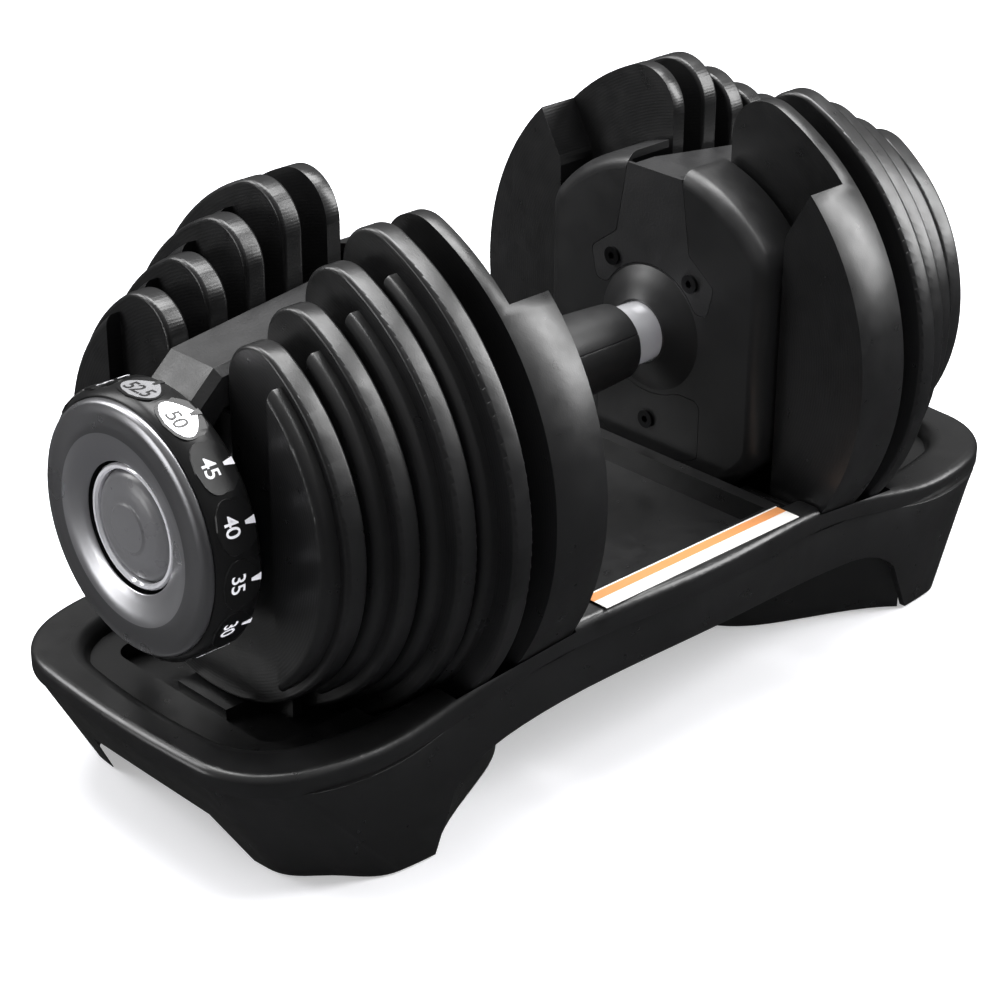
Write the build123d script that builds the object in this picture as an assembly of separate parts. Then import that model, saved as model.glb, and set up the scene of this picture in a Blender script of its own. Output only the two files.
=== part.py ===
"""Adjustable dumbbell in its tray.

The handle runs along X, Z points up and the origin is on the surface that the tray stands on, below the
handle's middle. The right-hand end is modelled and the left-hand end is its mirror image, apart from the
selector discs, whose gaps follow the numbers round each dial.
"""
from build123d import *
from math import cos, radians, sin, sqrt
import os

# Main sizes, in millimetres
AXIS_Z = 122.0              # height of the handle's axis
SLOT = 15.5                 # half width of the U slot in each plate
PITCH = 17.0                # spacing of the plates
FIRST_PLATE_X = 87.0        # inner face of the innermost plate's web
WEB = 9.0                   # thickness of a plate's web
PAD = 6.0                   # thickness of the pads on the outer plates
EDGE = 1.6                  # rounding of the plates' rims
STEP = 24.0                 # angle between two settings of the dial, in degrees
SETTINGS = (52.5, 50, 45, 40, 35, 30, 25, 22.5, 20, 17.5, 15, 12.5, 10, 7.5, 5)
BARE_HANDLE = 5             # weight of the handle with no plate, in pounds

# Plates from the innermost to the outermost: web radius, pad radius, tip rounding, weight per pair in pounds
PLATES = (
    (102.0, 102.0, 17.0, 10),
    (102.0, 94.0, 17.0, 20),
    (93.0, 86.5, 16.5, 10),
    (83.5, 78.5, 16.0, 5),
    (76.0, 72.0, 16.0, 2.5),
)
INNER_WEB = 6.2             # the innermost plate has a thinner web
INNER_PAD_X = 68.6          # and pads that reach in to here
INNER_PAD_Y = 60.0          # half distance between those pads
PAD_Y = 44.0                # half distance between the pads of the other plates

# Axle, sleeve and selector discs
AXLE_R = 8.0
AXLE_END = 184.0
SLEEVE_R = 13.0
SLEEVE_START = 64.3
SLEEVE_END = 184.0
RUN = 0.05                  # radial clearance of a running fit
TAB = (17.0, 22.5, 4.0, 2.6)     # tab under each slot: inner and outer radius, half width, depth
FLANGE = (23.6, 27.0)       # radii of a selector disc's raised arc
DISC_R = 29.0

# End disc, hub and bridge
DISC_X = 60.0
DISC_DEPTH = 24.0
DISC_ROUND = 71.0
DISC_HALF = 58.0
DISC_EDGE = 6.0             # rounding of the end disc's front edge
WALL = 3.0
COLLAR_R = 12.5
COLLAR_START = 40.0
HUB_TOP = 54.0
BRIDGE_HALF = 14.5
BRIDGE_TOP = (66.0, 54.0)   # height of the bridge above the axis at the end disc and at the dial
BRIDGE_UNDER = 32.0
BEAM_UNDER = 52.0           # underside of the beam above the axis, at the end disc
NOTCH_Z = 62.0              # bottom of the notch in the end disc that takes the beam
LEG_X = 172.8               # the bridge's outer leg, just behind the dial
LEG_DEPTH = 3.6
SCREW_Y = 21.0
SCREW_Z = 25.0
LOW_SCREW_Z = -36.0
SCREW_R = 2.0
SCREW_HEAD = 3.8

# Dial
DIAL_X = 178.0
DIAL_FRONT = 199.5
DIAL_R = 50.0
FACET = 49.1                # distance of the dial's flat facets from the axis
FACE_R = 46.2
FACE_BREAK_R = 34.8
FACE_HOLE_R = 24.0

# Lock that holds the dials while the dumbbell is out of its tray
LOCK_X = 65.0
LOCK_DEPTH = 3.0
LOCK_TEETH = 60
LOCK_R = 17.0
LOCK_TAIL = 65.0            # distance of the slide's tail below the axis

# Tray
TRAY_END = 209.0
TRAY_HALF = 92.0
CORNER = (186.0, 74.0)      # where the round corners of the plan meet its sides
SEAM = (62.0, 45.0)         # height of the seam at the middle and at the ends
RIM = 10.0                  # height of the rim above the seam at the middle
END_RIM = 8.0
RIM_WIDTH = 17.0
RIM_BEAD = 6.5              # rounding of the rim's inner edge round the ends
RECESS_X = 50.0             # half length of the recess between the wells
RECESS_Z = 62.0
RIDGE = 6.0
PANEL_Z = 47.0              # the flat panel at each end
SHEET = 2.6                 # wall of the moulded tray
FOOT_END = 183.0
FOOT_CORNER = 148.0
FOOT_BULGE = 2.5
FOOT_Y = 85.0
FOOT_LIFT = 0.6             # the rubber pads hold the tray this far off the floor
FOOT_PLACES = [(sx * 148, sy * 60) for sx in (-1, 1) for sy in (-1, 1)]
PAD_DEPTH = 3.0
LABEL = (53.0, 76.0, 88.0)  # half length of the label, and where it starts and ends across the tray

# Wells in the tray: from x, to x, radius
WELL_GAP = 0.6              # clearance under each plate
WELLS = (
    (57.5, 67.5, 73.0),
    (67.5, 120.0, 102.0),
    (120.0, 137.0, 93.0),
    (137.0, 154.0, 83.5),
    (154.0, 172.0, 76.0),
)
OPEN_X = (121.0, 176.0)     # wider opening in each end panel round the outer plates
OPEN_Y = 46.0
LEDGE_Z = 41.0
RIBS = ((95.5, 99.5, 102.0), (114.5, 118.5, 102.0), (131.5, 135.5, 93.0), (148.5, 152.5, 83.5))
RIB_HEIGHT = 16.0           # ribs that keep the plates upright
RIB_HALF = 30.0


def across(sketch, x0, x1):
    """Extrude a sketch drawn round the handle's axis, in Y and Z, from x0 to x1."""
    return extrude(Plane.YZ.offset(x0) * Pos(0, AXIS_Z) * sketch, amount=x1 - x0)


def tube(x0, x1, outer, inner=0.0):
    """Round bar or tube along the handle's axis."""
    section = Circle(outer)
    if inner:
        section -= Circle(inner)
    return across(section, x0, x1)


def block(x0, x1, y0, y1, z0, z1):
    """Rectangular block between two corners."""
    size = Box(x1 - x0, y1 - y0, z1 - z0)
    return Pos((x0 + x1) / 2, (y0 + y1) / 2, (z0 + z1) / 2) * size


def turned(points):
    """Solid turned round the handle's axis from (x, radius) points."""
    outline = Polyline(*[(x, AXIS_Z + r) for x, r in points], close=True)
    return revolve(Plane.XZ * make_face(outline), Axis((0, 0, AXIS_Z), (1, 0, 0)))


def left(shape):
    """Mirror image at the left-hand end."""
    return mirror(shape, about=Plane.YZ)


def soften(shape, edges, radius):
    """Round the edges, with a smaller radius where the full one doesn't fit."""
    for size in (radius, radius * 0.6, radius * 0.3):
        try:
            return fillet(edges, size)
        except (ValueError, RuntimeError):
            continue
    return shape


# ---------------------------------------------------------------- plates

def plate_web(radius, tip):
    """Outline of a plate: a disc with a U slot and rounded tips beside it."""
    slot = Circle(SLOT) + Pos(0, radius) * Rectangle(2 * SLOT, 2 * radius)
    outline = Circle(radius) - slot
    tips = outline.vertices().sort_by(Axis.Y)[-2:]
    return fillet(tips, tip)


def outer_pads(radius):
    """Outline of the two thick pads, either side of the slot."""
    return Circle(radius) - Rectangle(2 * PAD_Y, 3 * radius)


def inner_pads(radius):
    """Outline of the innermost plate's pads, which end in a slanting step at the top."""
    rim_y = radius * cos(radians(45.5))
    rim_z = radius * sin(radians(45.5))
    step = 20.0
    side = make_face(Polyline(
        (INNER_PAD_Y, -radius), (radius, -radius), (radius, rim_z + (radius - rim_y) * 0.2),
        (rim_y, rim_z), (INNER_PAD_Y, rim_z - step), close=True))
    corner = side.vertices().sort_by_distance((INNER_PAD_Y, rim_z - step))[0]
    side = fillet(corner, 8)
    return Circle(radius) & (side + mirror(side, about=Plane.YZ))


def rim_edges(shape, x, radius):
    """Edges of the round rim on the face at x."""
    found = [e for e in shape.edges() if abs(e.center().X - x) < 0.01]
    return [e for e in found if abs(sqrt((e @ 0.5).Y ** 2 + ((e @ 0.5).Z - AXIS_Z) ** 2) - radius) < 0.5]


def plate(number):
    """One plate of the right-hand end, with the tab that its selector disc lifts."""
    radius, pad_radius, tip, _ = PLATES[number]
    x0 = FIRST_PLATE_X + number * PITCH
    thick = WEB if number else INNER_WEB
    x1 = x0 + thick
    body = across(plate_web(radius, tip), x0, x1)
    if number:
        body = soften(body, rim_edges(body, x0, radius) + rim_edges(body, x1, radius), EDGE)
        pads = across(outer_pads(pad_radius), x1 - WEB / 2, x1 + PAD)
        pads = soften(pads, rim_edges(pads, x1 + PAD, pad_radius), 2 * EDGE)
    else:
        pads = across(inner_pads(pad_radius), INNER_PAD_X, x0 + thick / 2)
    inner, outer, half, depth = TAB
    tab = block(x1 - 1, x1 + depth, -half, half, AXIS_Z - outer, AXIS_Z - inner)
    return (body + pads + tab).solids()[0]


# ---------------------------------------------------------------- selector discs and sleeve

def lifted(number, setting):
    """Whether a plate is carried at a setting: the largest plates that fit the weight are taken first."""
    rest = setting - BARE_HANDLE
    order = sorted(range(len(PLATES)), key=lambda n: (-PLATES[n][3], n))
    for n in order:
        if PLATES[n][3] <= rest:
            rest -= PLATES[n][3]
            if n == number:
                return True
    return False


def selector_disc(number, turn):
    """Disc beside a plate: its raised arc passes under the plate's tab and is cut away where the plate stays.

    turn is 1 where the settings run clockwise seen from the left-hand end, and -1 for the other way.
    """
    x0 = FIRST_PLATE_X + number * PITCH + (WEB if number else INNER_WEB)
    arc_start, arc_end = x0 + 0.8, x0 + 3.4
    arc = across(Circle(FLANGE[1]) - Circle(FLANGE[0]), arc_start, arc_end)
    for index, setting in enumerate(SETTINGS):
        if not lifted(number, setting):
            angle = -90 + turn * STEP * index
            reach = 2 * FLANGE[1]
            wedge = make_face(Polyline(
                (0, 0),
                (reach * cos(radians(angle - STEP / 2)), reach * sin(radians(angle - STEP / 2))),
                (reach * cos(radians(angle + STEP / 2)), reach * sin(radians(angle + STEP / 2))),
                close=True))
            arc -= across(wedge, arc_start - 1, arc_end)
    web = tube(arc_end, arc_end + 2.0, DISC_R, SLEEVE_R + RUN)
    boss = tube(arc_start, arc_end + 2.0, SLEEVE_R + 2.2, SLEEVE_R + RUN)
    return arc + web + boss


def selector_sleeve():
    """Tube that carries the selector discs and turns on the axle."""
    return tube(SLEEVE_START, SLEEVE_END, SLEEVE_R, AXLE_R + RUN)


# ---------------------------------------------------------------- dial

def dial():
    """Dial with a facet for each setting, a hub on the sleeve and a groove for the click spring."""
    body = turned((
        (DIAL_X, SLEEVE_R + RUN), (DIAL_X, DIAL_R - 2.0), (DIAL_X + 1.6, DIAL_R - 0.6), (DIAL_X + 6, DIAL_R),
        (DIAL_X + 12, DIAL_R - 0.1), (DIAL_X + 16, DIAL_R - 1.2), (DIAL_FRONT - 3.6, FACE_R + 0.6),
        (DIAL_FRONT - 3.6, FACE_HOLE_R + 2), (DIAL_X + 8, FACE_HOLE_R + 2), (DIAL_X + 8, SLEEVE_R + RUN)))
    for index in range(len(SETTINGS)):
        cut = block(DIAL_X - 1, DIAL_FRONT, -20, 20, AXIS_Z + FACET, AXIS_Z + FACET + 10)
        body -= cut.rotate(Axis((0, 0, AXIS_Z), (1, 0, 0)), index * STEP)
    groove = turned(((DIAL_X - 1, 32.5), (DIAL_X + 0.7, 33), (DIAL_X + 0.7, 35), (DIAL_X - 1, 35.5)))
    return body - groove


def dial_face():
    """Metal ring on the front of the dial, sloping to the hole inside and to the rim outside."""
    back = DIAL_FRONT - 3.6
    return turned((
        (back, FACE_HOLE_R), (DIAL_FRONT - 3.2, FACE_HOLE_R), (DIAL_FRONT, FACE_BREAK_R),
        (DIAL_FRONT - 0.8, FACE_R - 1.6), (DIAL_FRONT - 1.8, FACE_R - 0.3), (DIAL_FRONT - 2.6, FACE_R),
        (back, FACE_R)))


def hub_ring():
    """Bright ring inside the dial's hole."""
    return turned((
        (DIAL_X + 8, 20.6), (DIAL_X + 16.5, 20.6), (DIAL_X + 17.5, 21.2), (DIAL_X + 17.5, 22.2),
        (DIAL_X + 16.6, 22.9), (DIAL_X + 8, 22.9)))


def hub_cap():
    """Domed cap over the end of the axle, with a raised round centre."""
    front = DIAL_X + 18.0
    return turned((
        (front - 6.5, 0), (front + 1.7, 0), (front + 1.6, 8.6), (front + 1.0, 9.4), (front + 0.9, 12),
        (front + 0.2, 15.5), (front - 1.2, 18.6), (front - 3.0, 20.2), (front - 10, 20.2), (front - 10, 13),
        (front - 6.5, 13)))


def axle_bolt():
    """Bolt in the axle's end, with a wide head that keeps the dial and sleeve on."""
    head = tube(AXLE_END + 0.3, AXLE_END + 4.3, 12.0)
    hexagon = across(RegularPolygon(3.0, 6), AXLE_END + 1.8, AXLE_END + 5)
    shank = tube(AXLE_END - 22, AXLE_END + 0.3, 4.0)
    return head + shank - hexagon


def click_spring():
    """Leaf spring on the bridge's outer leg, whose nose runs in the dial's groove."""
    strip = block(LEG_X + LEG_DEPTH - 0.8, LEG_X + LEG_DEPTH, -4, 4, AXIS_Z - 37.5, AXIS_Z - 20)
    nose = Pos(LEG_X + LEG_DEPTH + 1, 0, AXIS_Z - 34) * Rot(0, 90, 0) * Cone(1.4, 0.5, 2)
    return strip + nose


# ---------------------------------------------------------------- lock

def lock_ring():
    """Fine-toothed ring on the sleeve that the lock slide bites into."""
    ring = Circle(LOCK_R) - Circle(SLEEVE_R + RUN)
    notch = Pos(LOCK_R - 0.7, 0) * Rectangle(1.5, 1.0)
    ring -= [Rot(0, 0, 90 + 360 / LOCK_TEETH * n) * notch for n in range(LOCK_TEETH)]
    return across(ring, LOCK_X - 0.3, LOCK_X + LOCK_DEPTH + 0.3)


def lock_slide():
    """Sliding frame round the sleeve, with a tooth at its top and a tail that the tray's post lifts."""
    frame = Rectangle(46, 60) - Pos(0, 1) * RectangleRounded(40, 44, 6)
    tooth = Pos(0, 21.6) * Rectangle(0.6, 5.2)
    tail = Pos(0, -(30 + LOCK_TAIL) / 2) * Rectangle(8, LOCK_TAIL - 30)
    return across(frame + tooth + tail, LOCK_X, LOCK_X + LOCK_DEPTH)


def lock_spring():
    """Coil spring that pushes the lock slide down."""
    start = AXIS_Z + 30.0
    path = Helix(pitch=3.2, height=16, radius=2.6, center=(LOCK_X + LOCK_DEPTH / 2, 0, start + 0.5))
    wire = Plane(origin=path @ 0, z_dir=path % 0) * Circle(0.45)
    return sweep(wire, path=path)


# ---------------------------------------------------------------- handle

def handle_axle():
    """Steel bar through the whole handle, drilled at both ends for the bolts."""
    bar = tube(-AXLE_END, AXLE_END, AXLE_R)
    hole = tube(AXLE_END - 22.5, AXLE_END, 4.0 + RUN)
    return bar - hole - left(hole)


def grip():
    """Grip with a slight swell, cut along its length into two shells."""
    length, thin, swell = COLLAR_START, 15.4, 17.0
    bore = AXLE_R + RUN
    start = Polyline((-length, bore), (-length, thin - 1), (-length + 1, thin))
    top = ThreePointArc((-length + 1, thin), (0, swell), (length - 1, thin))
    end = Polyline((length - 1, thin), (length, thin - 1), (length, bore), (-length, bore))
    profile = start + top + end
    section = Plane.XZ * Pos(0, AXIS_Z) * make_face(profile)
    whole = revolve(section, Axis((0, 0, AXIS_Z), (1, 0, 0)))
    seam = block(-2 * length, 2 * length, -40, 40, AXIS_Z + 0.05, AXIS_Z + 60)
    seam = seam.rotate(Axis((0, 0, AXIS_Z), (1, 0, 0)), -28)
    upper = whole & seam
    lower = whole & seam.rotate(Axis((0, 0, AXIS_Z), (1, 0, 0)), 180)
    return upper, lower


def collar():
    """Bright collar between the grip and the end disc."""
    return turned((
        (COLLAR_START, AXLE_R + RUN), (COLLAR_START, COLLAR_R - 1), (COLLAR_START + 1, COLLAR_R),
        (DISC_X - 1, COLLAR_R), (DISC_X - 1, AXLE_R + RUN)))


def disc_outline(radius, half):
    """Round outline with flattened sides."""
    outline = Circle(radius) & Rectangle(2 * half, 3 * radius)
    return fillet(outline.vertices(), 16)


def bridge_leg(grow=0.0):
    """Outline of the bridge's inner leg: a stem that spreads into two ears round the hub."""
    top = BRIDGE_TOP[0]
    stem = Polyline(
        (-BRIDGE_HALF, top), (-19.5, 36), (-33, 26), (-30, 13),
        (30, 13), (33, 26), (19.5, 36), (BRIDGE_HALF, top), close=True)
    shape = make_face(stem) - Circle(27)
    shape = fillet(shape.vertices().filter_by(lambda v: v.Y < 40), 3.5)
    return offset(shape, grow) if grow else shape


def low_cover_outline(grow=0.0):
    """Outline of the cover below the hub, over the lock's tail."""
    shape = (Circle(56) & Pos(0, -48) * Rectangle(56, 48)) - Pos(0, 6) * Circle(34)
    shape = fillet(shape.vertices(), 4)
    return offset(shape, grow) if grow else shape


def screw_places():
    """Y and height above the axis of the screws in the end disc."""
    return ((-SCREW_Y, SCREW_Z), (SCREW_Y, SCREW_Z), (0, LOW_SCREW_Z - 4))


def end_disc():
    """Hollow end disc with a domed hub, pockets for the bridge's leg and the cover, and the lock's guides."""
    x0, x1 = DISC_X, DISC_X + DISC_DEPTH
    body = across(disc_outline(DISC_ROUND, DISC_HALF), x0, x1)
    body = soften(body, [e for e in body.edges() if abs(e.center().X - x0) < 0.01], DISC_EDGE)
    body -= across(disc_outline(DISC_ROUND - WALL, DISC_HALF - WALL), x0 + WALL, x1 + 1)
    body += turned((
        (x0 + WALL, 26), (x0, 26), (x0 - 2.6, 21), (HUB_TOP + 1, 15.5), (HUB_TOP, COLLAR_R + 1.0),
        (HUB_TOP, COLLAR_R + 0.2), (x0 - 1, COLLAR_R + 0.2), (x0 - 1, AXLE_R + RUN),
        (x0 + WALL, AXLE_R + RUN)))
    body -= across(bridge_leg(0.25), x0 - 0.1, x0 + 1.4)
    body -= across(low_cover_outline(0.25), x0 - 0.1, x0 + 1.4)
    for y, z in screw_places():
        body += across(Pos(y, z) * (Circle(4.4) - Circle(SCREW_R + RUN)), x0 + 1.4, x0 + WALL)
        body -= across(Pos(y, z) * Circle(SCREW_R + RUN), x0, x0 + WALL + 0.1)
    for side in (-1, 1):
        rail = block(x0 + WALL - 0.5, LOCK_X + LOCK_DEPTH + 1, -1.5, 1.5, AXIS_Z - 24, AXIS_Z + 22)
        body += Pos(0, side * 25, 0) * rail
    ceiling = block(x0 + WALL - 0.5, LOCK_X + LOCK_DEPTH + 2, -7, 7, AXIS_Z + 47, AXIS_Z + 50)
    bottom = AXIS_Z - DISC_ROUND
    slot = block(LOCK_X - 0.6, LOCK_X + LOCK_DEPTH + 0.6, -4.8, 4.8, bottom - 1, bottom + 8)
    width = BRIDGE_HALF + 0.25
    notch = block(x0 - 1, x1 + 1, -width, width, AXIS_Z + NOTCH_Z, AXIS_Z + DISC_ROUND + 1)
    bore = tube(x0 - 10, x1, AXLE_R + RUN)
    return body + ceiling - slot - notch - bore


def bridge():
    """Bridge over the slots: a leg on the end disc, a beam, and an outer leg that carries the sleeve."""
    leg = across(bridge_leg(), DISC_X, DISC_X + 1.4)
    for y, z in screw_places()[:2]:
        leg -= across(Pos(y, z) * Circle(SCREW_R + RUN), DISC_X - 1, DISC_X + 2)
    high, low = BRIDGE_TOP
    end = LEG_X + LEG_DEPTH
    side = make_face(Polyline(
        (DISC_X, BEAM_UNDER), (DISC_X, high), (DISC_X + 12, high), (end - 10, low), (end, low - 9),
        (end, BRIDGE_UNDER), (LEG_X, BRIDGE_UNDER), (LEG_X - 8, low - 14), (DISC_X + DISC_DEPTH, BEAM_UNDER),
        close=True))
    side = Pos(0, AXIS_Z) * side
    beam = extrude(Plane.XZ * side, amount=BRIDGE_HALF, both=True)
    along = beam.edges().filter_by(lambda e: abs((e % 0.5).Y) < 0.1)
    top = [e for e in along if e.center().Z > AXIS_Z + low - 5]
    beam = chamfer([e for e in top if abs(abs(e.center().Y) - BRIDGE_HALF) < 0.1], 3.0)
    beam -= block(DISC_X - 1, DISC_X + WALL + 0.2, -20, 20, AXIS_Z, AXIS_Z + NOTCH_Z + 0.2)
    outer = Circle(40) & Rectangle(2 * BRIDGE_HALF, 84)
    outer = outer + Circle(SLEEVE_R + 8) - Circle(SLEEVE_R + RUN)
    leg_outer = across(outer, LEG_X, end)
    pocket = block(end - 0.8 - RUN, end + 1, -4 - RUN, 4 + RUN, AXIS_Z - 37.5 - RUN, AXIS_Z - 20 + RUN)
    return leg + beam + leg_outer - pocket


def lock_cover():
    """Cover below the hub, with one screw hole."""
    cover = across(low_cover_outline(), DISC_X, DISC_X + 1.4)
    y, z = screw_places()[2]
    return cover - across(Pos(y, z) * Circle(SCREW_R + RUN), DISC_X - 1, DISC_X + 2)


def disc_screws():
    """Three screws that hold the bridge's leg and the cover."""
    screws = []
    for y, z in screw_places():
        shank = across(Pos(y, z) * Circle(SCREW_R), DISC_X, DISC_X + WALL + 1.5)
        head = across(Pos(y, z) * Circle(SCREW_HEAD), DISC_X - 1.2, DISC_X)
        socket = across(Pos(y, z) * RegularPolygon(1.6, 6), DISC_X - 1.3, DISC_X + 0.6)
        screws.append(shank + head - socket)
    return Compound(children=screws)


# ---------------------------------------------------------------- tray

def seam_height(x):
    """Height of the tray's seam, which arches up towards the middle."""
    middle, end = SEAM
    share = min(max((abs(x) - 50) / 110, 0), 1)
    return middle + (end - middle) * (0.5 - 0.5 * cos(radians(180 * share)))


def under_curve(rise_middle, rise_end):
    """Everything below a curve along the tray that follows the seam, across its whole width."""
    reach, depth = TRAY_END + 20, 100.0
    points = []
    for x in (0, 50, 80, 105, 130, 160):
        points.append((x, seam_height(x) + rise_middle + (rise_end - rise_middle) * x / 160))
    right = Spline(*points, tangents=((1, 0), (1, 0)))
    tail = Line(right @ 1, (reach, points[-1][1]))
    box = Polyline((reach, points[-1][1]), (reach, -depth), (-reach, -depth), (-reach, points[-1][1]))
    section = make_face([right, tail, mirror(right, about=Plane.YZ), mirror(tail, about=Plane.YZ), box])
    return extrude(Plane.XZ * section, amount=130, both=True)


def tray_outline(end, corner_x, corner_y, half, bulge=None):
    """Plan of the tray: bowed ends, corners and sides that swell towards the middle.

    The corners are round, or stand out from a straight cut by bulge.
    """
    bow = ThreePointArc((end - 2, -0.6 * corner_y), (end, 0), (end - 2, 0.6 * corner_y))
    if bulge is None:
        corner = TangentArc(bow @ 1, (corner_x, corner_y), tangent=bow % 1)
    else:
        start = bow @ 1
        middle = ((start.X + corner_x) / 2 + bulge, (start.Y + corner_y) / 2 + bulge)
        corner = Spline(start, middle, (corner_x, corner_y), tangents=(bow % 1, (-1, 0.12)))
    swell = (120, corner_y + 0.45 * (half - corner_y))
    side = Spline(corner @ 1, swell, (0, half), tangents=(corner % 1, (-1, 0)))
    quarter = [bow, corner, side, mirror(corner, about=Plane.XZ), mirror(side, about=Plane.XZ)]
    other = [mirror(c, about=Plane.YZ) for c in quarter]
    return make_face([*quarter, *other])


def deck_outline(inset=0.0):
    """Plan of the upper moulding, drawn in by inset."""
    return tray_outline(TRAY_END - inset, CORNER[0] - inset, CORNER[1] - inset, TRAY_HALF - inset)


def skirt(inset):
    """The tray's tapering outer body, drawn in by inset."""
    level = 90.0
    grow_end = (TRAY_END - FOOT_END) * level / SEAM[1]
    grow_corner = (CORNER[0] - FOOT_CORNER) * level / SEAM[1]
    grow_side = (TRAY_HALF - FOOT_Y) * level / SEAM[0]
    corner_y = FOOT_Y - 3
    grow_y = (CORNER[1] - corner_y) * level / SEAM[1]
    top = Pos(0, 0, level) * tray_outline(
        FOOT_END + grow_end - inset - 0.5, FOOT_CORNER + grow_corner - inset, corner_y + grow_y - 0.5 - inset,
        FOOT_Y + grow_side - inset - 0.5)
    foot = tray_outline(FOOT_END - inset, FOOT_CORNER - inset, corner_y - inset, FOOT_Y - inset, FOOT_BULGE)
    return loft([foot, top])


def side_arch():
    """Space under the tray's sides, between the near and far feet."""
    leg_top, leg_foot = 123.0, 135.0
    slope = Spline(
        (-leg_top, 23), (-88, 35.5), (0, 43), (88, 35.5), (leg_top, 23), tangents=((0.7, 0.7), (0.7, -0.7)))
    ends = Polyline((leg_top, 23), (leg_foot, -5), (-leg_foot, -5), (-leg_top, 23))
    return extrude(Plane.XZ * make_face([slope, ends]), amount=130, both=True)


def end_arch():
    """Space under the tray's right-hand end, between its feet."""
    top = ThreePointArc((-34, 22), (0, 25), (34, 22))
    ends = Polyline((34, 22), (44, -5), (-44, -5), (-34, 22))
    return Pos(FOOT_END + 6, 0, 0) * extrude(Plane.YZ * make_face([top, ends]), amount=60, both=True)


def well_space(grow):
    """Round spaces that the right-hand end disc and plates stand in, grown by a clearance."""
    space = tube(WELLS[0][0] - grow, WELLS[0][1] + grow, WELLS[0][2] + WELL_GAP + grow)
    for x0, x1, radius in WELLS[1:]:
        space += tube(x0 - grow, x1 + grow, radius + WELL_GAP + grow)
    return space


def inner_wall():
    """Curved wall under the right-hand wells that joins the two feet."""
    near, far = [(131, -80), (91, -58), (66, -42)], [(66, 42), (91, 58), (131, 80)]
    path = Spline(*near, (56, 0), *far)
    wall = extrude(trace(path, SHEET), amount=50)
    wall &= under_curve(-SHEET - 4, -SHEET - 4)
    return wall - well_space(SHEET + 0.3)


def tray_base():
    """Lower moulding: a skirt that stands on its corners, arched along its sides and ends."""
    shell = skirt(0) - Pos(0, 0, -4) * skirt(SHEET)
    shell &= under_curve(0, 0)
    shell -= side_arch()
    wall = inner_wall()
    for place in (lambda s: s, left):
        shell -= place(end_arch())
        shell += place(wall)
    for sx, sy in FOOT_PLACES:
        height = PANEL_Z - SHEET - FOOT_LIFT - 0.1
        boss = Pos(sx, sy, FOOT_LIFT) * extrude(RectangleRounded(26, 16, 6), amount=height)
        rib = block(sx - 1.5, sx + 1.5, min(sy, 1.5 * sy), max(sy, 1.5 * sy), FOOT_LIFT, 38)
        boss += rib & skirt(0.5)
        hole = Pos(sx, sy, -1) * extrude(Circle(SCREW_R + RUN), amount=60)
        seat = Pos(sx, sy, -1) * extrude(RectangleRounded(22 + 0.2, 12 + 0.2, 5), amount=PAD_DEPTH + 1)
        counter = Pos(sx, sy, -1) * extrude(Circle(SCREW_HEAD + 0.2), amount=PAD_DEPTH + 5)
        shell += boss
        shell = shell - seat - hole - counter
    wells = well_space(SHEET + 0.3)
    shell = shell - wells - left(wells)
    return shell - block(-300, 300, -120, 120, -10, FOOT_LIFT)


def foot_pads():
    """Rubber pads under the four corners."""
    pad = extrude(RectangleRounded(22, 12, 5), amount=PAD_DEPTH)
    return Compound(children=[Pos(sx, sy, 0) * pad for sx, sy in FOOT_PLACES])


def deck_screws():
    """Screws behind the pads that hold the two mouldings together."""
    head = extrude(Circle(SCREW_HEAD), amount=2.5)
    shank = extrude(Circle(SCREW_R), amount=PANEL_Z - PAD_DEPTH - 2)
    screw = Pos(0, 0, PAD_DEPTH + 0.6) * (head + shank)
    return Compound(children=[Pos(sx, sy, 0) * screw for sx, sy in FOOT_PLACES])


def end_deck():
    """Right-hand part of the deck: the panel and the walls of the wells."""
    limit = extrude(deck_outline(SHEET + 2.5), amount=120)
    panel = block(WELLS[-2][0] - 30, TRAY_END, -TRAY_HALF, TRAY_HALF, PANEL_Z - SHEET, PANEL_Z)
    ledges = block(OPEN_X[0], OPEN_X[1] + SHEET, -OPEN_Y - SHEET, OPEN_Y + SHEET, LEDGE_Z - SHEET, PANEL_Z)
    walls = well_space(SHEET) & under_curve(RIM - 1.5, PANEL_Z - SEAM[1])
    walls &= block(RECESS_X, TRAY_END, -TRAY_HALF, TRAY_HALF, 0, SEAM[0] + RIM)
    walls -= block(WELLS[2][0] + SHEET, TRAY_END, -TRAY_HALF, TRAY_HALF, PANEL_Z - 0.1, 200)
    return (panel + ledges + walls) & limit


def end_cut():
    """Space cleared in the right-hand part of the deck for the plates."""
    opening = block(OPEN_X[0], OPEN_X[1], -OPEN_Y, OPEN_Y, LEDGE_Z, PANEL_Z + 40)
    opening = fillet(opening.edges().filter_by(Axis.Z).group_by(Axis.X)[-1], 8)
    return well_space(0) + opening


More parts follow.
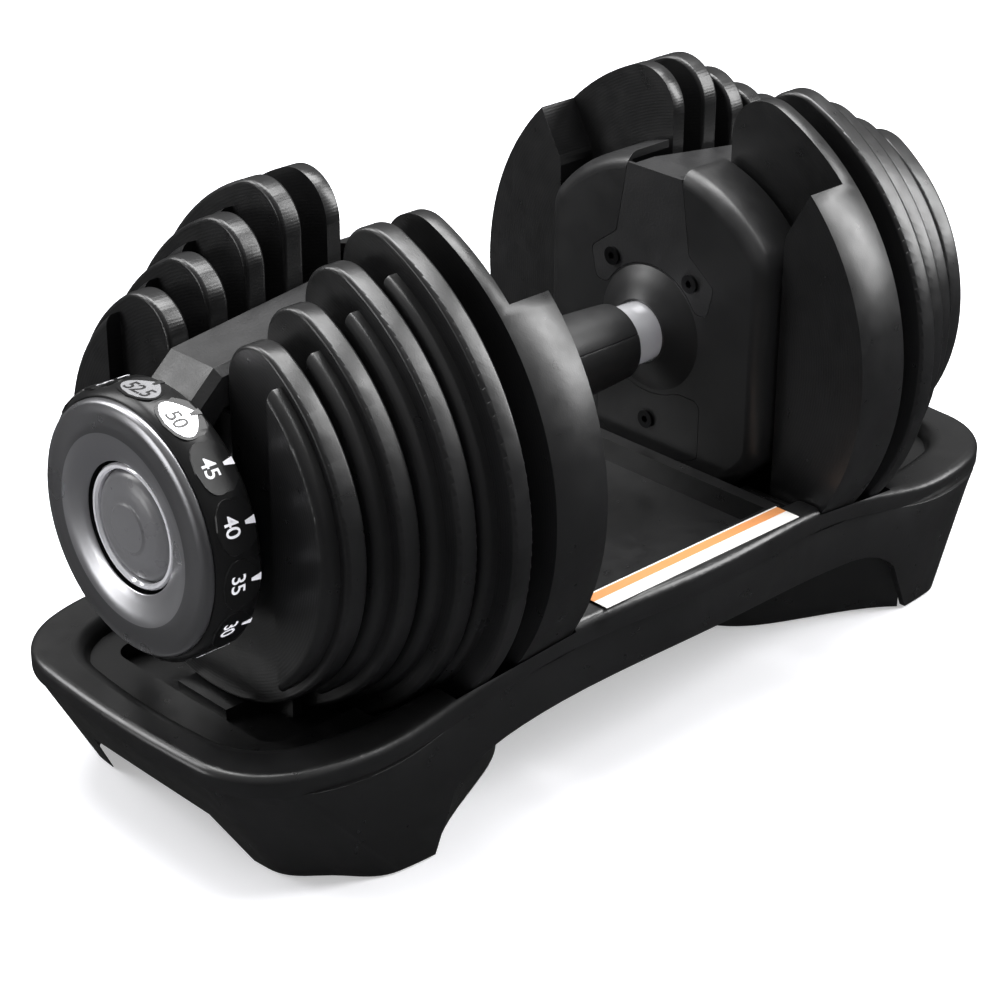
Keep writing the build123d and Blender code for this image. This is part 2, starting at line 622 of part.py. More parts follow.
def tray_deck():
    """Upper moulding: the rim, the end panels, the recess and the wells that the plates stand in."""
    inner_y = TRAY_HALF - RIM_WIDTH + 1
    deck = tray_rim() + block(-RECESS_X, RECESS_X, -inner_y, inner_y, RECESS_Z - SHEET, RECESS_Z)
    lip = extrude(deck_outline(SHEET + 3.6), amount=120) - extrude(deck_outline(2 * SHEET + 3.6), amount=120)
    deck += lip & (under_curve(2, 2) - under_curve(-3, -3))
    for place in (lambda s: s, left):
        ridge = block(RECESS_X, RECESS_X + RIDGE, -inner_y, inner_y, RECESS_Z - SHEET, SEAM[0] + RIM - 0.5)
        deck += place(ridge + end_deck())
        deck -= place(end_cut())
        for x0, x1, radius in RIBS:
            rib = tube(x0, x1, radius + WELL_GAP + SHEET / 2) - tube(x0, x1, radius - RIB_HEIGHT)
            deck += place(rib & block(x0, x1, -RIB_HALF, RIB_HALF, 0, AXIS_Z))
        top = AXIS_Z - PLATES[-1][0] - WELL_GAP
        deck += place(block(WELLS[-1][0] + 1, OPEN_X[1] - 6, -14, 14, LEDGE_Z - 0.5, top))
    for sx, sy in FOOT_PLACES:
        deck -= Pos(sx, sy, 0) * extrude(Circle(SCREW_R + RUN), amount=PANEL_Z - 1.3)
    return deck


def top_rim(edge):
    """Whether an edge runs along the top of the rim."""
    at = edge @ 0.5
    return at.Z > seam_height(at.X) + 0.7 * END_RIM


def tray_rim():
    """Rim round the deck: a flat ledge along the recess, and a wide rounded bead round each end."""
    rim = extrude(deck_outline(), amount=120) & under_curve(RIM, END_RIM)
    rim = rim - under_curve(0, 0)
    rim = soften(rim, [e for e in rim.edges() if top_rim(e)], 3.2)
    rim -= extrude(deck_outline(RIM_WIDTH), amount=120)
    start = RECESS_X + RIDGE
    middle = rim & block(-start, start, -2 * TRAY_HALF, 2 * TRAY_HALF, 0, AXIS_Z)
    end = rim & block(start, 2 * TRAY_END, -2 * TRAY_HALF, 2 * TRAY_HALF, 0, AXIS_Z)
    inside = deck_outline(RIM_WIDTH - 2)
    edges = [e for e in end.edges() if top_rim(e) and inside.is_inside(Vector((e @ 0.5).X, (e @ 0.5).Y, 0))]
    end = soften(end, edges, RIM_BEAD)
    return middle + end + left(end)


def lock_post():
    """Post in the bottom of the inner well that pushes the lock slide up."""
    floor = AXIS_Z - WELLS[0][2] - WELL_GAP
    stem = block(LOCK_X - 0.1, LOCK_X + LOCK_DEPTH + 0.1, -3.5, 3.5, floor, AXIS_Z - LOCK_TAIL - 0.05)
    base = block(LOCK_X - 4, LOCK_X + LOCK_DEPTH + 2.5, -8, 8, floor, floor + 1.6)
    base = base & tube(LOCK_X - 10, LOCK_X + 10, WELLS[0][2] + WELL_GAP - 0.05, DISC_ROUND + 0.3)
    return base + stem


def deck_label():
    """Thin label on the ledge along the recess."""
    ledge = SEAM[0] + RIM + 0.1
    return block(-LABEL[0], LABEL[0], -LABEL[2], -LABEL[1], ledge, ledge + 0.2)


def save(name, shape):
    """Write one node."""
    shape.label = name
    export_step(shape, f"parts/{name}.step")


def main():
    """Write every node."""
    os.makedirs("parts", exist_ok=True)
    for side, place, turn in (("right", lambda s: s, 1), ("left", left, -1)):
        for number in range(len(PLATES)):
            save(f"plate_{side}_{number + 1}", place(plate(number)))
            save(f"selector_disc_{side}_{number + 1}", place(selector_disc(number, turn)))
        for piece in (
                selector_sleeve, dial, dial_face, hub_ring, hub_cap, axle_bolt, click_spring, lock_ring,
                lock_slide, lock_spring, end_disc, bridge, lock_cover, disc_screws, collar):
            save(f"{piece.__name__}_{side}", place(piece()))
    upper, lower = grip()
    save("grip_upper", upper)
    save("grip_lower", lower)
    for piece in (handle_axle, tray_base, tray_deck, foot_pads, deck_screws, deck_label):
        save(piece.__name__, piece())
    post = lock_post()
    save("lock_posts", Compound(children=[post, left(post)]))


main()
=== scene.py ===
"""Looks of an adjustable dumbbell in its tray: finishes, dial numbers, floor, lights and camera."""

import logging
import math
from dataclasses import dataclass, field
from enum import Enum
from typing import Callable, Iterable, Sequence

import bmesh
import bpy
from mathutils import Euler, Matrix, Vector


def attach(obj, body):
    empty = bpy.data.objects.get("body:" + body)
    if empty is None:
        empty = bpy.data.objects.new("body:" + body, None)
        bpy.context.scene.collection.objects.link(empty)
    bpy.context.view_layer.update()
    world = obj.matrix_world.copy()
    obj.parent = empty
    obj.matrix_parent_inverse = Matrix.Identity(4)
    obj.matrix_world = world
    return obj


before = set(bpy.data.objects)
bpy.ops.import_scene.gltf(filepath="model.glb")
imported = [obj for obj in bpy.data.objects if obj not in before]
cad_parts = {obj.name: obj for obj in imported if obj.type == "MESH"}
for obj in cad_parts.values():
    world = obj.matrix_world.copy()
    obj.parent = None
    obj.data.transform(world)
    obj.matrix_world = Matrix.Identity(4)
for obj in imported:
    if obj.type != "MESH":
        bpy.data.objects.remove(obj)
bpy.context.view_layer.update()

log = logging.getLogger("dumbbell")
AXIS_Z = 0.122
Color = tuple[float, float, float]
Point = tuple[float, float]


class End(Enum):
    """The two ends of the handle, with the direction each one points along X."""

    LEFT = -1
    RIGHT = 1

    @property
    def word(self) -> str:
        """The end's name as node names have it."""
        return self.name.lower()


# ---------------------------------------------------------------- finishes

@dataclass
class Nodes:
    """Material with one Principled shader, and methods that add nodes to it."""

    name: str

    def __post_init__(self) -> None:
        """Make the material with one Principled shader."""
        self.material = bpy.data.materials.new(self.name)
        self.material.use_nodes = True
        self.tree = self.material.node_tree
        self.shader = self.tree.nodes["Principled BSDF"]
        coords = self.tree.nodes.new("ShaderNodeTexCoord")
        self.place = coords.outputs["Object"]

    def add(self, kind: str, **values: object) -> bpy.types.Node:
        """Add a node.

        Args:
            kind: The node's type.
            values: Properties of the node.

        Returns:
            The node.
        """
        node = self.tree.nodes.new(kind)
        for key, value in values.items():
            setattr(node, key, value)
        return node

    def link(self, source: bpy.types.NodeSocket, target: bpy.types.NodeSocket) -> None:
        """Link two sockets."""
        self.tree.links.new(source, target)

    def noise(self, scale: float, detail: float) -> bpy.types.NodeSocket:
        """Add noise over the object's own coordinates.

        Args:
            scale: Cells for each metre.
            detail: Octaves of the noise.

        Returns:
            The noise's value.
        """
        texture = self.add("ShaderNodeTexNoise")
        texture.inputs["Scale"].default_value = scale
        texture.inputs["Detail"].default_value = detail
        self.link(self.place, texture.inputs["Vector"])
        return texture.outputs["Fac"]

    def rings(self, scale: float) -> bpy.types.NodeSocket:
        """Add fine rings round the handle's axis.

        Args:
            scale: Rings for each metre, near enough.

        Returns:
            The rings' value.
        """
        mapping = self.add("ShaderNodeMapping")
        mapping.inputs["Location"].default_value = (0, 0, -AXIS_Z)
        self.link(self.place, mapping.inputs["Vector"])
        texture = self.add("ShaderNodeTexWave", wave_type="RINGS", rings_direction="X")
        texture.inputs["Scale"].default_value = scale
        texture.inputs["Distortion"].default_value = 1.5
        texture.inputs["Detail"].default_value = 2.0
        texture.inputs["Detail Scale"].default_value = 2.0
        self.link(mapping.outputs["Vector"], texture.inputs["Vector"])
        return texture.outputs["Fac"]

    def spread(self, source: bpy.types.NodeSocket, low: float, high: float) -> bpy.types.NodeSocket:
        """Spread a value between two limits.

        Args:
            source: The value, mostly between 0.3 and 0.7.
            low: Result at the low end.
            high: Result at the high end.

        Returns:
            The spread value.
        """
        node = self.add("ShaderNodeMapRange")
        node.inputs["From Min"].default_value = 0.3
        node.inputs["From Max"].default_value = 0.7
        node.inputs["To Min"].default_value = low
        node.inputs["To Max"].default_value = high
        self.link(source, node.inputs["Value"])
        return node.outputs["Result"]

    def tint(self, factor: bpy.types.NodeSocket, dark: Color, light: Color) -> bpy.types.NodeSocket:
        """Mix two colours.

        Args:
            factor: Share of the light colour.
            dark: First colour.
            light: Second colour.

        Returns:
            The mixed colour.
        """
        node = self.add("ShaderNodeMix", data_type="RGBA")
        node.inputs[6].default_value = (*dark, 1)
        node.inputs[7].default_value = (*light, 1)
        self.link(factor, node.inputs[0])
        return node.outputs[2]

    def bumps(self, layers: Iterable[tuple[bpy.types.NodeSocket, float, float]]) -> None:
        """Put bump layers on the shader, one over the other.

        Args:
            layers: Height, strength and depth in metres of each layer.
        """
        below = None
        for height, strength, depth in layers:
            node = self.add("ShaderNodeBump")
            node.inputs["Strength"].default_value = strength
            node.inputs["Distance"].default_value = depth
            self.link(height, node.inputs["Height"])
            if below is not None:
                self.link(below, node.inputs["Normal"])
            below = node.outputs["Normal"]
        self.link(below, self.shader.inputs["Normal"])


@dataclass(frozen=True)
class Moulded:
    """Plastic, rubber or coated iron with a fine grain and a slightly uneven gloss."""

    name: str
    base: Color
    light: Color
    roughness: tuple[float, float]
    grain: float = 1400.0
    grain_depth: float = 0.00004
    wave_depth: float = 0.00012
    lathe: float = 0.0
    specular: float = 0.5

    def build(self) -> bpy.types.Material:
        """Make the material.

        Returns:
            The material.
        """
        nodes = Nodes(self.name)
        shader = nodes.shader
        shader.inputs["Specular IOR Level"].default_value = self.specular
        cloud = nodes.noise(22, 3)
        speck = nodes.noise(self.grain, 3)
        wear = nodes.noise(130, 6)
        nodes.link(nodes.tint(nodes.spread(cloud, 0, 1), self.base, self.light), shader.inputs["Base Color"])
        nodes.link(nodes.spread(wear, *self.roughness), shader.inputs["Roughness"])
        layers = [(cloud, 0.5, self.wave_depth), (speck, 0.6, self.grain_depth)]
        if self.lathe:
            layers.append((nodes.rings(260), 0.35, self.lathe))
        nodes.bumps(layers)
        return nodes.material


@dataclass(frozen=True)
class Metal:
    """Bare or plated metal with faint smears and, where asked, fine turned lines."""

    name: str
    base: Color
    roughness: tuple[float, float]
    lines: float = 0.0
    metallic: float = 1.0

    def build(self) -> bpy.types.Material:
        """Make the material.

        Returns:
            The material.
        """
        nodes = Nodes(self.name)
        shader = nodes.shader
        shader.inputs["Metallic"].default_value = self.metallic
        smear = nodes.noise(60, 5)
        dull = tuple(c * 0.86 for c in self.base)
        nodes.link(nodes.tint(nodes.spread(smear, 0, 1), dull, self.base), shader.inputs["Base Color"])
        nodes.link(nodes.spread(nodes.noise(240, 5), *self.roughness), shader.inputs["Roughness"])
        layers = [(nodes.noise(900, 2), 0.2, 0.00001)]
        if self.lines:
            layers.append((nodes.rings(700), 0.5, self.lines))
        nodes.bumps(layers)
        return nodes.material


@dataclass(frozen=True)
class MetalWithPaintedSheen:
    """Turned metal with a painted highlight: the inner cone is painted brighter than the ring round it,
    though both are the same metal and only the light falls differently on them.
    """

    name: str
    outer: Color
    inner: Color
    break_radius: float
    roughness: tuple[float, float]

    def build(self) -> bpy.types.Material:
        """Make the material.

        Returns:
            The material.
        """
        nodes = Nodes(self.name)
        shader = nodes.shader
        shader.inputs["Metallic"].default_value = 0.9
        shader.inputs["Anisotropic"].default_value = 0.4
        offset = nodes.add("ShaderNodeVectorMath", operation="SUBTRACT")
        nodes.link(nodes.place, offset.inputs[0])
        offset.inputs[1].default_value = (0, 0, AXIS_Z)
        flat = nodes.add("ShaderNodeVectorMath", operation="MULTIPLY")
        nodes.link(offset.outputs["Vector"], flat.inputs[0])
        flat.inputs[1].default_value = (0, 1, 1)
        radius = nodes.add("ShaderNodeVectorMath", operation="LENGTH")
        nodes.link(flat.outputs["Vector"], radius.inputs[0])
        # Painted highlight: inside the break radius the face takes the brighter colour, outside it the
        # darker one.
        beyond = nodes.add("ShaderNodeMath", operation="GREATER_THAN")
        nodes.link(radius.outputs["Value"], beyond.inputs[0])
        beyond.inputs[1].default_value = self.break_radius
        painted_sheen_zone = nodes.tint(beyond.outputs["Value"], self.inner, self.outer)
        smear = nodes.add("ShaderNodeMix", data_type="RGBA", blend_type="MULTIPLY")
        smear.inputs[0].default_value = 0.04
        nodes.link(painted_sheen_zone, smear.inputs[6])
        nodes.link(nodes.noise(35, 2), smear.inputs[7])
        nodes.link(smear.outputs[2], shader.inputs["Base Color"])
        nodes.link(nodes.spread(nodes.noise(60, 2), *self.roughness), shader.inputs["Roughness"])
        nodes.bumps([(nodes.noise(30, 2), 0.1, 0.00001), (nodes.rings(90), 0.1, 0.000003)])
        tangent = nodes.add("ShaderNodeTangent", direction_type="RADIAL", axis="X")
        nodes.link(tangent.outputs["Tangent"], shader.inputs["Tangent"])
        return nodes.material


@dataclass(frozen=True)
class StripedPaper:
    """Glossy label: white paper with one orange stripe along its inner side."""

    name: str
    paper: Color
    stripe: Color
    stripe_from: float
    stripe_to: float

    def build(self) -> bpy.types.Material:
        """Make the material.

        Returns:
            The material.
        """
        nodes = Nodes(self.name)
        split = nodes.add("ShaderNodeSeparateXYZ")
        nodes.link(nodes.place, split.inputs["Vector"])
        inside = []
        for limit, operation in ((self.stripe_from, "GREATER_THAN"), (self.stripe_to, "LESS_THAN")):
            test = nodes.add("ShaderNodeMath", operation=operation)
            nodes.link(split.outputs["Y"], test.inputs[0])
            test.inputs[1].default_value = limit
            inside.append(test.outputs["Value"])
        both = nodes.add("ShaderNodeMath", operation="MULTIPLY")
        nodes.link(inside[0], both.inputs[0])
        nodes.link(inside[1], both.inputs[1])
        fibre = nodes.noise(500, 4)
        print_tint = nodes.tint(both.outputs["Value"], self.paper, self.stripe)
        shade = nodes.add("ShaderNodeMix", data_type="RGBA", blend_type="MULTIPLY")
        shade.inputs[0].default_value = 0.06
        nodes.link(print_tint, shade.inputs[6])
        nodes.link(fibre, shade.inputs[7])
        nodes.link(shade.outputs[2], nodes.shader.inputs["Base Color"])
        nodes.link(nodes.spread(fibre, 0.32, 0.46), nodes.shader.inputs["Roughness"])
        nodes.bumps([(fibre, 0.2, 0.00002)])
        return nodes.material


def grey(value: float) -> Color:
    """A neutral colour with a trace of blue."""
    return (value, value, value * 1.04)


FINISHES: dict[str, Moulded | Metal | MetalWithPaintedSheen | StripedPaper] = {
    "cast_plate": Moulded("coated iron", grey(0.0065), grey(0.010), (0.27, 0.37), grain=1700, lathe=0.00005,
                          specular=0.52),
    "dark_plastic": Moulded("inner plastic", grey(0.010), grey(0.013), (0.40, 0.52)),
    "plain_steel": Metal("plain steel", grey(0.52), (0.24, 0.36), lines=0.00001),
    # Dial face: one turned metal, with its inner cone painted brighter as a painted highlight.
    "gunmetal_face": MetalWithPaintedSheen("turned dial face", grey(0.23), grey(0.46), 0.0348, (0.27, 0.30)),
    "dial_plastic": Moulded("dial plastic", grey(0.005), grey(0.007), (0.27, 0.34), grain=2200,
                            grain_depth=0.00001, specular=0.28),
    "chrome": Metal("chrome plate", grey(0.86), (0.05, 0.11), metallic=0.55),
    "grey_cap": Moulded("grey cap plastic", grey(0.085), grey(0.10), (0.26, 0.36), grain=2400,
                        grain_depth=0.00001),
    "screw_steel": Metal("blackened screw", grey(0.025), (0.42, 0.52)),
    "disc_plastic": Moulded("end disc plastic", grey(0.009), grey(0.013), (0.34, 0.44)),
    "grip_rubber": Moulded("grip rubber", grey(0.009), grey(0.012), (0.40, 0.52), grain=1900,
                           grain_depth=0.00006),
    "tray_plastic": Moulded("tray plastic", grey(0.007), grey(0.0095), (0.27, 0.36), grain=1500,
                            grain_depth=0.00003, specular=0.55),
    "foot_rubber": Moulded("foot rubber", grey(0.008), grey(0.012), (0.60, 0.75)),
    "label_paper": StripedPaper("striped label", (0.72, 0.71, 0.69), (0.60, 0.25, 0.09), -0.0815, -0.0768),
    "white_print": Moulded("white print", grey(0.82), grey(0.90), (0.38, 0.50), grain_depth=0.00001),
    # Numbers on the painted-glare petals: the same print drawn dark, painted shade against the painted
    # highlight.
    "print_dark_in_glare": Moulded("print dark in glare", grey(0.010), grey(0.012), (0.34, 0.46), grain_depth=0.00001),
    # Bright metal for the top petals: painted glare on the dial plastic.
    "glare_painted_petal": Metal("glare painted petal", grey(0.60), (0.18, 0.24), metallic=0.65),
    "bridge_plastic": Moulded("bridge plastic", grey(0.011), grey(0.018), (0.40, 0.52), grain=900,
                              grain_depth=0.00018),
}


class Workshop:
    """Keeps one material for each finish and turns mesh data into pieces."""

    def __init__(self) -> None:
        """Start with no material made."""
        self.made: dict[str, bpy.types.Material] = {}

    def finish(self, name: str) -> bpy.types.Material:
        """The material of a finish, made on first use."""
        if name not in self.made:
            self.made[name] = FINISHES[name].build()
        return self.made[name]

    def piece(self, name: str, mesh: bmesh.types.BMesh, finish: str, body: str,
              slot: str) -> bpy.types.Object:
        """Turn a bmesh into a piece that rides on a body.

        Args:
            name: The piece's name.
            mesh: Its mesh, in the row frame.
            finish: Name of its finish.
            body: Body that it moves with.
            slot: Slot of the record that it belongs to. Not used.

        Returns:
            The object.
        """
        data = bpy.data.meshes.new(name)
        mesh.to_mesh(data)
        mesh.free()
        obj = bpy.data.objects.new(name, data)
        bpy.context.scene.collection.objects.link(obj)
        data.materials.append(self.finish(finish))
        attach(obj, body)
        log.info("piece %s: %d faces", name, len(data.polygons))
        return obj

    def dress(self, node: str, finish: str, bevel: float = 0.0) -> None:
        """Give a node of the frame its finish and, where asked, softened edges.

        Args:
            node: The node.
            finish: Name of the finish.
            bevel: Width of the softened edges in metres, or 0 for none.
        """
        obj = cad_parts[node]
        obj.data.materials.clear()
        obj.data.materials.append(self.finish(finish))
        if bevel:
            weld = obj.modifiers.new("weld", "WELD")
            weld.merge_threshold = 0.00001
            soft = obj.modifiers.new("soft edges", "BEVEL")
            soft.width = bevel
            soft.segments = 2
            soft.limit_method = "ANGLE"
            soft.angle_limit = math.radians(35)
        log.info("node %s: %s", node, finish)


# ---------------------------------------------------------------- dial

@dataclass
class DialPrint:
    """Petals, numbers and pointers on the facets round one dial."""

    end: End
    shop: Workshop
    settings: tuple[str, ...] = (
        "52.5", "50", "45", "40", "35", "30", "25", "22.5", "20", "17.5", "15", "12.5", "10", "7.5", "5")
    facet: float = 0.0491
    back: float = 0.1787
    front: float = 0.1945
    petal_half: float = 0.0098
    petal_rise: float = 0.00022
    print_rise: float = 0.00012
    digit_height: float = 0.0059
    digit_width: float = 0.0122
    digit_place: float = 0.0102
    foot_depth: float = 0.0004
    outline_width: float = 0.0010
    # Settings whose petals are drawn as bright metal: a painted highlight standing for glare on the top
    # facets.
    bright: tuple[str, ...] = ("52.5", "50")

    def facet_frame(self, index: int) -> Matrix:
        """Axes of one facet: reading direction, up towards the handle, and outwards.

        Args:
            index: Number of the facet, counted from the top.

        Returns:
            Matrix from the facet's own coordinates to the row frame.
        """
        turn = math.radians(360 / len(self.settings) * index)
        side = self.end.value
        out = Vector((0, side * math.sin(turn), math.cos(turn)))
        read = Vector((0, side * math.cos(turn), -math.sin(turn)))
        up = Vector((-side, 0, 0))
        at = Vector((0, 0, AXIS_Z)) + out * self.facet
        return Matrix.Translation(at) @ Matrix((read, up, out)).transposed().to_4x4()

    def petal_outline(self, shrink: float = 0.0) -> list[Point]:
        """Leaf shape with its tip at the dial's back and a round end at its front.

        Args:
            shrink: How far the outline is drawn in.

        Returns:
            Points of the outline in a facet's coordinates.
        """
        length = self.front - self.back
        steps = 18
        widest = 0.64
        half: list[Point] = []
        for step in range(steps + 1):
            share = step / steps
            if share < widest:
                width = math.sin(0.5 * math.pi * share / widest)
            else:
                width = math.sqrt(max(0.0, 1 - ((share - widest) / (1 - widest)) ** 2.2))
            y = -self.back - length * share
            y += shrink * (share - 0.5) * 2
            half.append((max(width * self.petal_half - shrink, 0.0), y))
        return half[:-1] + [(0.0, half[-1][1])] + [(-x, y) for x, y in reversed(half[1:-1])]

    def raised(self, mesh: bmesh.types.BMesh, outline: Sequence[Point], place: Matrix, low: float,
               high: float, draw_in: float = 0.0) -> None:
        """Add a thin raised shape to a mesh.

        Args:
            mesh: Mesh that takes the shape.
            outline: Its outline in a facet's coordinates.
            place: The facet's matrix.
            low: Height of its foot above the facet.
            high: Height of its top above the facet.
            draw_in: How much the top is smaller, as a share of the shape.
        """
        count = len(outline)
        middle = Vector((sum(x for x, _ in outline) / count, sum(y for _, y in outline) / count))
        foot = [mesh.verts.new(place @ Vector((x, y, low))) for x, y in outline]
        top = []
        for x, y in outline:
            at = Vector((x, y)).lerp(middle, draw_in)
            top.append(mesh.verts.new(place @ Vector((at.x, at.y, high))))
        for index in range(count):
            after = (index + 1) % count
            mesh.faces.new((foot[index], foot[after], top[after], top[index]))
        mesh.faces.new(top)
        mesh.faces.new(list(reversed(foot)))

    def text_mesh(self, word: str) -> bpy.types.Mesh:
        """Flat digits with a little thickness, centred on their own origin.

        Args:
            word: The digits.

        Returns:
            Mesh of the digits.
        """
        curve = bpy.data.curves.new(f"digits {word}", "FONT")
        curve.body = word
        curve.align_x = "CENTER"
        curve.align_y = "CENTER"
        curve.size = self.digit_height * 1.38
        curve.extrude = self.print_rise
        curve.space_character = 0.94
        curve.offset = 0.00006
        holder = bpy.data.objects.new(curve.name, curve)
        mesh = bpy.data.meshes.new_from_object(holder)
        bpy.data.objects.remove(holder)
        return mesh

    def pointer(self) -> list[Point]:
        """Small wedge beside each number, its narrow end towards the dial's front."""
        y0 = -self.back - 0.0004
        y1 = y0 - 0.0040
        return [(-0.0014, y0), (0.0014, y0), (0.0006, y1), (-0.0006, y1)]

    def build(self) -> None:
        """Make the petals, numbers and pointers."""
        meshes = {key: bmesh.new() for key in ("glare_painted_petals", "dark_petals", "white_print", "print_dark_in_glare")}
        for index, word in enumerate(self.settings):
            place = self.facet_frame(index)
            # Painted glare: the listed settings get a bright metal petal inside a dark outline.
            painted_glare = word in self.bright
            petals = meshes["glare_painted_petals" if painted_glare else "dark_petals"]
            outline = list(reversed(self.petal_outline()))
            if painted_glare:
                self.raised(meshes["dark_petals"], outline, place, -self.foot_depth, self.petal_rise * 0.5)
                outline = list(reversed(self.petal_outline(self.outline_width)))
            self.raised(petals, outline, place, -self.foot_depth, self.petal_rise, 0.02)
            # Painted shade: numbers on the painted-glare facets are drawn dark, those on the others white.
            ink = meshes["print_dark_in_glare" if painted_glare else "white_print"]
            text = self.text_mesh(word)
            wide = max(v.co.x for v in text.vertices) - min(v.co.x for v in text.vertices)
            squeeze = min(1.0, self.digit_width / wide)
            centre = -(self.back + self.digit_place)
            shift = Matrix.Translation((0, centre, self.petal_rise)) @ Matrix.Diagonal((squeeze, 1, 1, 1))
            text.transform(place @ shift)
            ink.from_mesh(text)
            bpy.data.meshes.remove(text)
            self.raised(ink, list(reversed(self.pointer())), place, 0, self.petal_rise + self.print_rise)
        finishes = {
            # The bright petals are painted glare, put in the chrome slot.
            "glare_painted_petals": ("glare_painted_petal", "chrome"), "dark_petals": ("dial_plastic", "dial_plastic"),
            "white_print": ("white_print", "dial_plastic"), "print_dark_in_glare": ("print_dark_in_glare", "dial_plastic")}
        for key, mesh in meshes.items():
            bmesh.ops.recalc_face_normals(mesh, faces=mesh.faces)
            finish, slot = finishes[key]
            self.shop.piece(f"dial_{key}_{self.end.word}", mesh, finish, f"dial_{self.end.word}", slot)


@dataclass
class Dial:
    """One dial with its face, ring, cap and inner discs."""

    end: End
    shop: Workshop

    def build(self) -> None:
        """Dress the dial's nodes and print its numbers."""
        word = self.end.word
        self.shop.dress(f"dial_{word}", "dial_plastic", 0.0003)
        self.shop.dress(f"dial_face_{word}", "gunmetal_face", 0.0003)
        self.shop.dress(f"hub_ring_{word}", "chrome")
        self.shop.dress(f"hub_cap_{word}", "grey_cap", 0.0004)
        self.shop.dress(f"selector_sleeve_{word}", "plain_steel")
        self.shop.dress(f"lock_ring_{word}", "plain_steel")
        for number in range(1, 6):
            self.shop.dress(f"selector_disc_{word}_{number}", "dark_plastic")
        DialPrint(self.end, self.shop).build()


# ---------------------------------------------------------------- plates

@dataclass
class Plates:
    """The five plates of one end."""

    end: End
    shop: Workshop
    count: int = 5
    edge: float = 0.0006

    def build(self) -> None:
        """Dress the plates."""
        for number in range(1, self.count + 1):
            self.shop.dress(f"plate_{self.end.word}_{number}", "cast_plate", self.edge)


# ---------------------------------------------------------------- handle

@dataclass
class Handle:
    """Axle, grip and what is fixed to them at both ends."""

    shop: Workshop
    edge: float = 0.0004
    finishes: dict[str, str] = field(default_factory=lambda: {
        "collar": "chrome", "end_disc": "disc_plastic", "bridge": "bridge_plastic",
        "lock_cover": "disc_plastic", "disc_screws": "screw_steel", "lock_spring": "plain_steel",
        "axle_bolt": "plain_steel", "click_spring": "plain_steel", "lock_slide": "plain_steel"})

    def build(self) -> None:
        """Dress the handle's nodes."""
        self.shop.dress("handle_axle", "plain_steel")
        self.shop.dress("grip_upper", "grip_rubber", self.edge)
        self.shop.dress("grip_lower", "grip_rubber", self.edge)
        for end in End:
            for stem, finish in self.finishes.items():
                soft = self.edge if stem in ("end_disc", "bridge", "lock_cover", "collar") else 0.0
                self.shop.dress(f"{stem}_{end.word}", finish, soft)


# ---------------------------------------------------------------- tray

@dataclass
class Tray:
    """The tray's mouldings, feet, label and inner posts."""

    shop: Workshop

    def build(self) -> None:
        """Dress the tray's nodes."""
        self.shop.dress("tray_base", "tray_plastic", 0.0006)
        self.shop.dress("tray_deck", "tray_plastic", 0.0006)
        self.shop.dress("foot_pads", "foot_rubber")
        self.shop.dress("deck_screws", "plain_steel")
        self.shop.dress("deck_label", "label_paper")
        self.shop.dress("lock_posts", "dark_plastic")


# ---------------------------------------------------------------- studio

@dataclass(frozen=True)
class SoftBox:
    """One rectangular area light aimed at the dumbbell."""

    name: str
    place: tuple[float, float, float]
    size: tuple[float, float]
    power: float
    aim: tuple[float, float, float] = (0.0, 0.0, 0.10)

    def build(self) -> None:
        """Make the light."""
        data = bpy.data.lights.new(self.name, "AREA")
        data.shape = "RECTANGLE"
        data.size, data.size_y = self.size
        data.energy = self.power
        lamp = bpy.data.objects.new(self.name, data)
        bpy.context.scene.collection.objects.link(lamp)
        lamp.location = self.place
        lamp.rotation_euler = (Vector(self.aim) - Vector(self.place)).to_track_quat("-Z", "Y").to_euler()


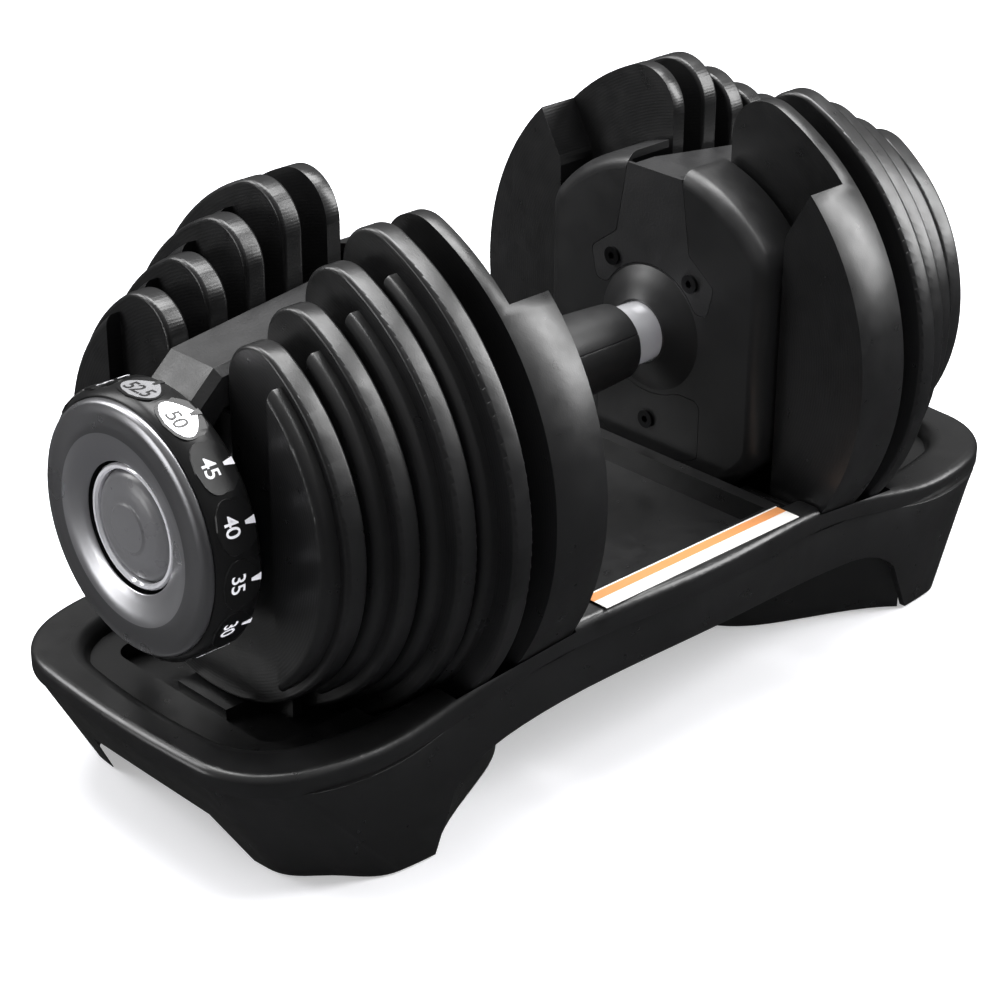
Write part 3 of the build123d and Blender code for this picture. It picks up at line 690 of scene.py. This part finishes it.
@dataclass
class Studio:
    """Pale floor, soft lights and the camera."""

    floor_half: float = 6.0
    backdrop: float = 0.95
    low_sky: float = 0.04
    high_sky: float = 0.42
    dim_below: float = -0.15
    full_above: float = 0.85
    glow: float = 0.38
    eye: tuple[float, float, float] = (-0.6486, -0.6531, 0.5275)
    target: tuple[float, float, float] = (-0.0223, 0.0, 0.073)
    lens: float = 93.7
    sensor: float = 36.0
    roll: float = 0.31
    lights: tuple[SoftBox, ...] = (
        SoftBox("overhead", (0.25, 0.35, 1.8), (2.0, 0.8), 66.0),
        SoftBox("right wall", (1.5, -1.1, 1.15), (0.7, 1.6), 46.0),
        SoftBox("far left", (-1.1, 1.5, 1.25), (0.8, 1.2), 30.0),
        SoftBox("low left", (-1.5, 0.75, 0.12), (0.5, 0.5), 5.0, (-0.2, 0.0, 0.12)),
    )

    def floor(self) -> None:
        """Make the floor."""
        mesh = bmesh.new()
        bmesh.ops.create_grid(mesh, x_segments=1, y_segments=1, size=self.floor_half)
        data = bpy.data.meshes.new("floor")
        mesh.to_mesh(data)
        mesh.free()
        floor = bpy.data.objects.new("floor", data)
        floor.location.z = -0.0002
        bpy.context.scene.collection.objects.link(floor)
        paper = Moulded("floor paper", grey(0.80), grey(0.82), (0.75, 0.85), specular=0.1).build()
        shader = paper.node_tree.nodes["Principled BSDF"]
        shader.inputs["Emission Color"].default_value = (1, 1, 1, 1)
        shader.inputs["Emission Strength"].default_value = self.glow
        data.materials.append(paper)
        floor.visible_glossy = False

    def world(self) -> None:
        """Light the scene softly from all round."""
        world = bpy.data.worlds.new("studio")
        world.use_nodes = True
        tree = world.node_tree
        shade = tree.nodes["Background"]
        coords = tree.nodes.new("ShaderNodeTexCoord")
        split = tree.nodes.new("ShaderNodeSeparateXYZ")
        tree.links.new(coords.outputs["Generated"], split.inputs["Vector"])
        ramp = tree.nodes.new("ShaderNodeMapRange")
        ramp.interpolation_type = "SMOOTHSTEP"
        ramp.inputs["From Min"].default_value = self.dim_below
        ramp.inputs["From Max"].default_value = self.full_above
        ramp.inputs["To Min"].default_value = self.low_sky
        ramp.inputs["To Max"].default_value = self.high_sky
        tree.links.new(split.outputs["Z"], ramp.inputs["Value"])
        seen = tree.nodes.new("ShaderNodeLightPath")
        pick = tree.nodes.new("ShaderNodeMix")
        tree.links.new(seen.outputs["Is Camera Ray"], pick.inputs[0])
        tree.links.new(ramp.outputs["Result"], pick.inputs[2])
        pick.inputs[3].default_value = self.backdrop
        shade.inputs["Color"].default_value = (1, 1, 1, 1)
        tree.links.new(pick.outputs[0], shade.inputs["Strength"])
        bpy.context.scene.world = world

    def camera(self) -> None:
        """Make the camera and look at the dumbbell."""
        data = bpy.data.cameras.new("camera")
        data.lens = self.lens
        data.sensor_width = self.sensor
        camera = bpy.data.objects.new("camera", data)
        bpy.context.scene.collection.objects.link(camera)
        look = (Vector(self.target) - Vector(self.eye)).to_track_quat("-Z", "Y").to_matrix()
        turned = look @ Euler((0, 0, math.radians(self.roll))).to_matrix()
        camera.matrix_world = Matrix.Translation(self.eye) @ turned.to_4x4()
        bpy.context.scene.camera = camera

    def build(self) -> None:
        """Set up floor, light and camera."""
        bpy.context.scene.view_settings.view_transform = "Standard"
        self.floor()
        self.world()
        for light in self.lights:
            light.build()
        self.camera()


def main() -> None:
    """Build every class in order."""
    logging.basicConfig(level=logging.INFO, format="%(name)s: %(message)s")
    shop = Workshop()
    builders: list[Callable[[], None]] = [Tray(shop).build, Handle(shop).build]
    for end in End:
        builders.append(Plates(end, shop).build)
        builders.append(Dial(end, shop).build)
    builders.append(Studio().build)
    for build in builders:
        build()


if __name__ == "__main__":
    main()
